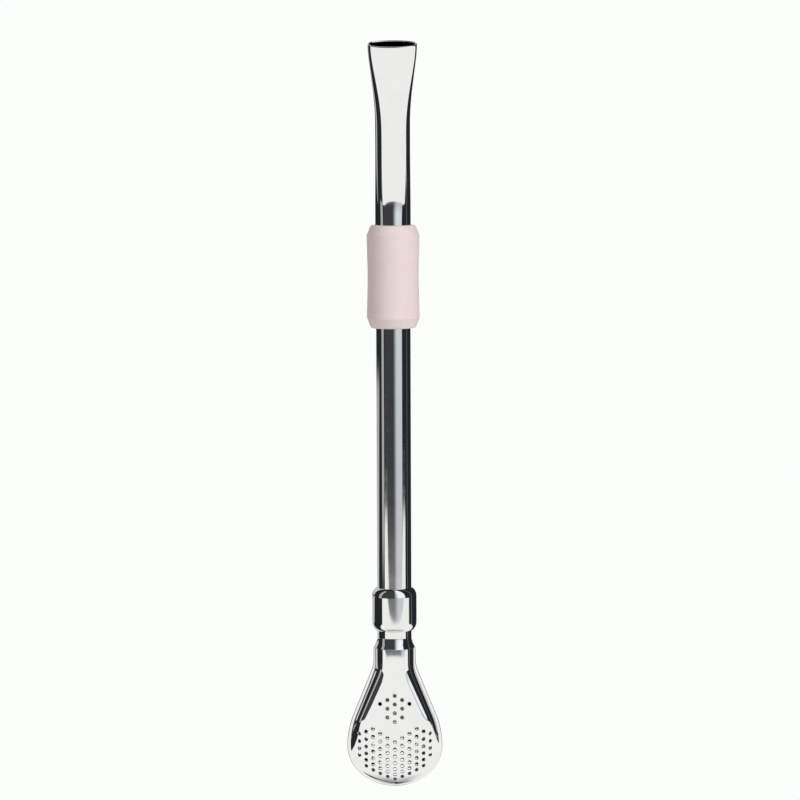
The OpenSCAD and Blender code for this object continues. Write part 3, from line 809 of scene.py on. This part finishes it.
def shell_face(border):
    """Perforated sheet: a triangulated plane of points inside the border and between the holes, raised
    onto the dome, and the same again one sheet thickness inside."""
    top_count = int(2 * abs(border[0, 0]) / FACE_PITCH)
    top = np.stack([np.linspace(border[-1, 0], border[0, 0], top_count + 1)[1:-1],
                    np.full(top_count - 1, shell_top)], 1)
    loop = np.concatenate([border, top])
    centre = hole_places()
    angle = np.arange(HOLE_SIDES) * 2 * math.pi / HOLE_SIDES
    axis = dome_normal(centre[:, 0], centre[:, 1])
    across = unit(np.cross(axis, [0, 0, 1.0]))
    along = np.cross(across, axis)
    spoke = across[:, None] * np.cos(angle)[:, None] + along[:, None] * np.sin(angle)[:, None]
    flat_spoke = spoke[..., [0, 2]]
    edge_r = HOLE_R + HOLE_ROUND
    rims = centre[:, None] + flat_spoke * edge_r
    # Points between the holes, on a triangular grid
    step_z = FACE_PITCH * math.sqrt(3) / 2
    rows = np.arange(tip_z, shell_top, step_z)
    grid_x = np.arange(-BOWL_R, BOWL_R, FACE_PITCH)
    x = grid_x[None, :] + FACE_PITCH / 2 * (np.arange(len(rows)) % 2)[:, None]
    spare = np.stack(np.broadcast_arrays(x, rows[:, None]), -1).reshape(-1, 2)
    right = border[len(border) // 2:]
    limit = np.interp(spare[:, 1], right[:, 1], right[:, 0], left=-1)
    spare = spare[(np.abs(spare[:, 0]) < limit - FACE_PITCH / 2)
                  & (spare[:, 1] < shell_top - FACE_PITCH / 2)
                  & (spare[:, 1] > right[0, 1] + FACE_PITCH / 2)]
    away = np.linalg.norm(spare[:, None] - centre, axis=2).min(1)
    spare = spare[away > edge_r + FACE_PITCH / 3]
    flat = np.concatenate([loop, rims.reshape(-1, 2), spare])

    def ring(first, count):
        """Edges of a closed loop of points, as pairs of numbers."""
        index = np.arange(count)
        return np.stack([first + index, first + (index + 1) % count], 1)

    edges = [ring(0, len(loop))]
    edges += [ring(len(loop) + i * HOLE_SIDES, HOLE_SIDES) for i in range(len(centre))]
    found = delaunay_2d_cdt(flat.tolist(), np.concatenate(edges).tolist(), [], 1, 1e-7)
    origin = np.array([source[0] for source in found[3]])
    triangles = origin[np.array(found[2])]
    middle = flat[triangles].mean(1)
    nearest = np.linalg.norm(middle[:, None] - centre, axis=2).argmin(1)
    offset = middle - centre[nearest]
    # A triangle inside a hole has its middle within that hole's rim, measured along its own spokes
    frame_x, frame_z = across[nearest][:, [0, 2]] * edge_r, along[nearest][:, [0, 2]] * edge_r
    area = frame_x[:, 0] * frame_z[:, 1] - frame_x[:, 1] * frame_z[:, 0]
    u = (offset[:, 0] * frame_z[:, 1] - offset[:, 1] * frame_z[:, 0]) / area
    v = (frame_x[:, 0] * offset[:, 1] - frame_x[:, 1] * offset[:, 0]) / area
    triangles = triangles[np.hypot(u, v) > HOLE_INSIDE]
    points, normals = on_dome(flat[:, 0], flat[:, 1]), dome_normal(flat[:, 0], flat[:, 1])
    outside = (points, normals, [triangles])
    inside = (points - SHELL_WALL * normals, -normals, [triangles])
    # Hole walls: a round lip, the bore and the lip inside, carried round each hole
    turn = np.linspace(0, math.pi / 2, LIP_STEPS)
    radius = HOLE_R + HOLE_ROUND * np.concatenate([1 - np.sin(turn), 1 - np.cos(turn)])
    depth = np.concatenate([HOLE_ROUND * (1 - np.cos(turn)),
                            SHELL_WALL - HOLE_ROUND * (1 - np.sin(turn))])
    tilt = np.concatenate([turn, math.pi / 2 + turn])
    bore = centre[:, None, None] + flat_spoke[:, None] * radius[:, None, None]
    up = dome_normal(bore[..., 0], bore[..., 1])
    wall = on_dome(bore[..., 0], bore[..., 1]) - up * depth[:, None, None]
    wall_facing = up * np.cos(tilt)[:, None, None] - spoke[:, None] * np.sin(tilt)[:, None, None]
    walls = [grid_patch(w, f, wrap_columns=True) for w, f in zip(wall, wall_facing)]
    top_row = np.arange(len(border), len(loop))
    return [outside, inside, *walls], points[top_row], inside[0][top_row]


def half_shell():
    """All patches of the front shell: the perforated face, its edge and the cut at the top."""
    rim_patches, border, (left, right) = shell_rim(*outline_stations())
    face_patches, outer_top, inner_top = shell_face(border)
    # The walk round the cut: the right edge, the inside back to the left, the left edge, the outside
    cut = np.concatenate([right, inner_top, left[::-1], outer_top[::-1]])
    cap = (cut, np.broadcast_to([0, 0, 1.0], cut.shape), [np.arange(len(cut))[None]])
    return rim_patches + face_patches + [cap]


def shells():
    """Front shell, and the back shell as its mirror through the seam."""
    front = half_shell()
    flip = np.array([1, -1, 1])
    back = [(points * flip, normals * flip, [block.copy() for block in blocks])
            for points, normals, blocks in front]
    make_piece("front_strainer", front, pressed_steel, "filter", "front_shell")
    make_piece("back_strainer", back, pressed_steel, "filter", "back_shell")


# Studio

CAMERA_PLACE = (1.62, -940.0, 188.0)
CAMERA_DOWN = math.radians(5.4)
CAMERA_ROLL = math.radians(-0.2)
CAMERA_LENS = 167.6
CAMERA_SENSOR = 36
CAMERA_REACH = 100
FLOOR_DROP = 120.0
FLOOR_SIZE = 1500.0
LAMP_SIZE = (0.5, 0.8)
LAMP_AWAY = 1.0
LAMP_HEIGHT = 0.7
LAMP_TILT = math.radians(60)
WHITE = "#FCFEFC"
PAPER = "#F4F4F2"
FLAG_DARK = "#26292C"
SOFT_BOX_WHITE = "#EDF4F9"

# The white table's far edge, as heights and places in degrees: a rounded dip in front, rising at both
# sides, and how fast its left and right ends open out below it
TABLE_EDGE = -8.81
TABLE_CURVE = 1.8e-5
TABLE_CURVE_POWER = 2.5
TABLE_WINGS = 1.8e-14
TABLE_WINGS_POWER = 8.0
TABLE_RISE = 1.7
TABLE_MIDDLE = 8.0
TABLE_LEFT = 66.0
TABLE_RIGHT = 82.0
TABLE_REAR = 152.0
LEFT_OPENING = 0.9
RIGHT_OPENING = 2.4

# The floor behind, at the left, starts at this place for each height, and no further back than its end
REAR_HEIGHT = -5.2
REAR_SLOPE = 4.5
REAR_START = -112.0
REAR_END = -138.0


def between(angle, low, high, soft):
    """The two edges of what is lit between two places."""
    return (angle, low - soft, low + soft), (angle, high + soft, high - soft)


# Patches of light, each the product of soft edges. An edge has the angle that it is measured on, where it
# is dark and where it is light, in degrees, and its two levels if they aren't 0 and 1
TABLE = (("under_edge", -0.025, 0.025), ("from_left", -1.5, 1.5), ("from_right", -1.5, 1.5),
         ("height", -78, -52, 0.4, 1.0))
HAZE = (("height", -6.5, -9.5, 0.03, 0.25), *between("right", -62, 60, 6))
SOFT_BOX = (("right", -4, 26), ("right", 62, 55), ("height", -8, 4, 0.66, 1.2), ("height", 88, 78))
LEFT_STRIP = (*between("right", -87, -69, 1.5), *between("height", -7.9, 60, 0.6))
RIGHT_STRIP = (*between("right", 98, 104, 2), ("height", -8, -11, 0.1, 0.4))
REAR_FLOOR = (("from_rear", -2, 2), ("height", -4.8, -5.3), ("height", -5, -9, 0.42, 0.62),
              ("height", -75, -50, 0.2, 1.0))
LEFT_BACKDROP = (("height", -1.5, 1), ("right", -124, -132))
RIGHT_BACKDROP = (("height", -1.5, 1), ("right", 164, 172))
PATCH_LEVELS = ((HAZE, 1.0), (LEFT_STRIP, 0.45), (RIGHT_STRIP, 1.0), (REAR_FLOOR, 1.0),
                (LEFT_BACKDROP, 0.62), (RIGHT_BACKDROP, 0.62))


def camera():
    """Long lens, level with the mouth and looking a little down."""
    data = bpy.data.cameras.new("camera")
    data.lens = CAMERA_LENS
    data.sensor_width = CAMERA_SENSOR
    data.clip_end = CAMERA_REACH
    eye = bpy.data.objects.new("camera", data)
    bpy.context.scene.collection.objects.link(eye)
    place = Matrix.Translation([v * MM for v in CAMERA_PLACE])
    tilt = Matrix.Rotation(math.pi / 2 - CAMERA_DOWN, 4, "X")
    eye.matrix_world = place @ tilt @ Matrix.Rotation(CAMERA_ROLL, 4, "Z")
    bpy.context.scene.camera = eye


def floor():
    """Plain white sweep under the object: white to the eye and in the metal, and still shaded."""
    material = bpy.data.materials.new("white_sweep")
    material.use_nodes = True
    tree = material.node_tree
    tree.nodes.clear()
    path = add_node(tree, "ShaderNodeLightPath").outputs
    seen = add_node(tree, "ShaderNodeMath", {"operation": "MAXIMUM"},
                    path["Is Camera Ray"], path["Is Glossy Ray"])
    seen = add_node(tree, "ShaderNodeMath", {"operation": "MAXIMUM"}, seen, path["Is Transmission Ray"])
    paper = add_node(tree, "ShaderNodeBsdfDiffuse", Color=linear(PAPER))
    glow = add_node(tree, "ShaderNodeEmission", Color=linear(WHITE), Strength=1.0)
    blend = add_node(tree, "ShaderNodeMixShader", None, seen, paper, glow)
    add_node(tree, "ShaderNodeOutputMaterial", Surface=blend)
    half = FLOOR_SIZE * MM
    z = (tip_z - FLOOR_DROP) * MM
    mesh = bpy.data.meshes.new("white_sweep")
    mesh.from_pydata([(-half, -half, z), (half, -half, z), (half, half, z), (-half, half, z)], [],
                     [(0, 1, 2, 3)])
    mesh.materials.append(material)
    sweep = bpy.data.objects.new("white_sweep", mesh)
    bpy.context.scene.collection.objects.link(sweep)
    sweep.visible_glossy = False


def world():
    """Studio round the object, by direction: a white table in front and below, dark flags at the sides,
    a tall soft box to the right of the camera, a strip at each side, the floor behind at the left and a
    pale backdrop above it.

    Angles are in degrees, to the right of the camera's side and above the horizon. White to the eye."""
    place = bpy.data.worlds.new("studio")
    bpy.context.scene.world = place
    place.use_nodes = True
    tree = place.node_tree
    tree.nodes.clear()
    outlook = add_node(tree, "ShaderNodeTexCoord").outputs["Generated"]
    way = add_node(tree, "ShaderNodeSeparateXYZ", Vector=outlook).outputs
    front = add_node(tree, "ShaderNodeMath", {"operation": "MULTIPLY"}, way["Y"], -1.0)
    right = add_node(tree, "ShaderNodeMath", {"operation": "ARCTAN2"}, way["X"], front)
    right = add_node(tree, "ShaderNodeMath", {"operation": "DEGREES"}, right)
    height = add_node(tree, "ShaderNodeMath", {"operation": "ARCSINE"}, way["Z"])
    height = add_node(tree, "ShaderNodeMath", {"operation": "DEGREES"}, height)
    # The table's edge: a power of the distance from its middle, and a higher power for its wings
    off = add_node(tree, "ShaderNodeMath", {"operation": "SUBTRACT"}, right, TABLE_MIDDLE)
    off = add_node(tree, "ShaderNodeMath", {"operation": "ABSOLUTE"}, off)
    wings = add_node(tree, "ShaderNodeMath", {"operation": "POWER"}, off, TABLE_WINGS_POWER)
    wings = add_node(tree, "ShaderNodeMath", {"operation": "MULTIPLY"}, wings, TABLE_WINGS)
    rise = add_node(tree, "ShaderNodeMath", {"operation": "POWER"}, off, TABLE_CURVE_POWER)
    rise = add_node(tree, "ShaderNodeMath", {"operation": "MULTIPLY_ADD"}, rise, TABLE_CURVE, wings)
    rise = add_node(tree, "ShaderNodeMath", {"operation": "MINIMUM"}, rise, TABLE_RISE)
    edge = add_node(tree, "ShaderNodeMath", {"operation": "ADD"}, rise, TABLE_EDGE)
    under_edge = add_node(tree, "ShaderNodeMath", {"operation": "SUBTRACT"}, edge, height)
    # Its left and right ends open out with the distance below the edge
    below = add_node(tree, "ShaderNodeMath", {"operation": "SUBTRACT"}, TABLE_EDGE, height)
    below = add_node(tree, "ShaderNodeMath", {"operation": "MAXIMUM"}, below, 0.0)
    ends = []
    for opening, start in ((LEFT_OPENING, TABLE_LEFT), (RIGHT_OPENING, TABLE_RIGHT)):
        end = add_node(tree, "ShaderNodeMath", {"operation": "MULTIPLY_ADD"}, below, opening, start)
        ends.append(add_node(tree, "ShaderNodeMath", {"operation": "MINIMUM"}, end, TABLE_REAR))
    from_left = add_node(tree, "ShaderNodeMath", {"operation": "ADD"}, right, ends[0])
    from_right = add_node(tree, "ShaderNodeMath", {"operation": "SUBTRACT"}, ends[1], right)
    # The floor behind, at the left, is seen from the height at which the table's edge hides it
    rear = add_node(tree, "ShaderNodeMath", {"operation": "SUBTRACT"}, height, REAR_HEIGHT)
    rear = add_node(tree, "ShaderNodeMath", {"operation": "MULTIPLY_ADD"}, rear, REAR_SLOPE, REAR_START)
    rear = add_node(tree, "ShaderNodeMath", {"operation": "MAXIMUM"}, rear, REAR_END)
    from_rear = add_node(tree, "ShaderNodeMath", {"operation": "SUBTRACT"}, rear, right)
    angles = {"right": right, "height": height, "under_edge": under_edge, "from_left": from_left,
              "from_right": from_right, "from_rear": from_rear}

    def patch(edges, level=1.0):
        """Level of a patch of light: its level times a smooth step for each of its edges."""
        light = level
        for angle, dark, bright, *levels in edges:
            low, high = levels or (0.0, 1.0)
            step = add_node(tree, "ShaderNodeMapRange", {"interpolation_type": "SMOOTHSTEP"},
                            Value=angles[angle], From_Min=dark, From_Max=bright, To_Min=low, To_Max=high)
            light = add_node(tree, "ShaderNodeMath", {"operation": "MULTIPLY"}, light, step)
        return light

    table = patch(TABLE)
    light = table
    for edges, level in PATCH_LEVELS:
        light = add_node(tree, "ShaderNodeMath", {"operation": "MAXIMUM"}, light, patch(edges, level))
    plain = add_node(tree, "ShaderNodeMix", {"data_type": "RGBA", "clamp_factor": False},
                     Factor=light.outputs[0], A=linear(FLAG_DARK), B=linear(WHITE))
    above_table = add_node(tree, "ShaderNodeMath", {"operation": "SUBTRACT"}, 1.0, table)
    soft_box = add_node(tree, "ShaderNodeMath", {"operation": "MULTIPLY"}, patch(SOFT_BOX), above_table)
    studio = add_node(tree, "ShaderNodeMix", {"data_type": "RGBA", "clamp_factor": False},
                      Factor=soft_box.outputs[0], A=plain.outputs["Result"], B=linear(SOFT_BOX_WHITE))
    path = add_node(tree, "ShaderNodeLightPath").outputs
    seen = add_node(tree, "ShaderNodeMix", {"data_type": "RGBA"}, Factor=path["Is Camera Ray"],
                    A=studio.outputs["Result"], B=linear(WHITE))
    glow = add_node(tree, "ShaderNodeBackground", Color=seen.outputs["Result"], Strength=1.0)
    add_node(tree, "ShaderNodeOutputWorld", Surface=glow)


def area_light(name, turn, energy):
    """Large soft light at an angle to the right of the front, for the rubber only: the metal sees the
    studio's own panels instead."""
    data = bpy.data.lights.new(name, "AREA")
    data.shape = "RECTANGLE"
    data.size, data.size_y = LAMP_SIZE
    data.energy = energy
    lamp = bpy.data.objects.new(name, data)
    bpy.context.scene.collection.objects.link(lamp)
    lamp.location = (LAMP_AWAY * math.sin(turn), -LAMP_AWAY * math.cos(turn), LAMP_HEIGHT)
    lamp.rotation_euler = (LAMP_TILT, 0, turn)
    lamp.visible_glossy = False
    lamp.visible_camera = False


mouthpiece()
stem()
grip()
collar()
seal()
neck()
shells()
camera()
floor()
world()
area_light("key", math.radians(48), 8.3)
area_light("fill", math.radians(-46), 4.2)
area_light("rear", math.radians(172), 5.0)
bpy.context.scene.view_settings.view_transform = "Standard"
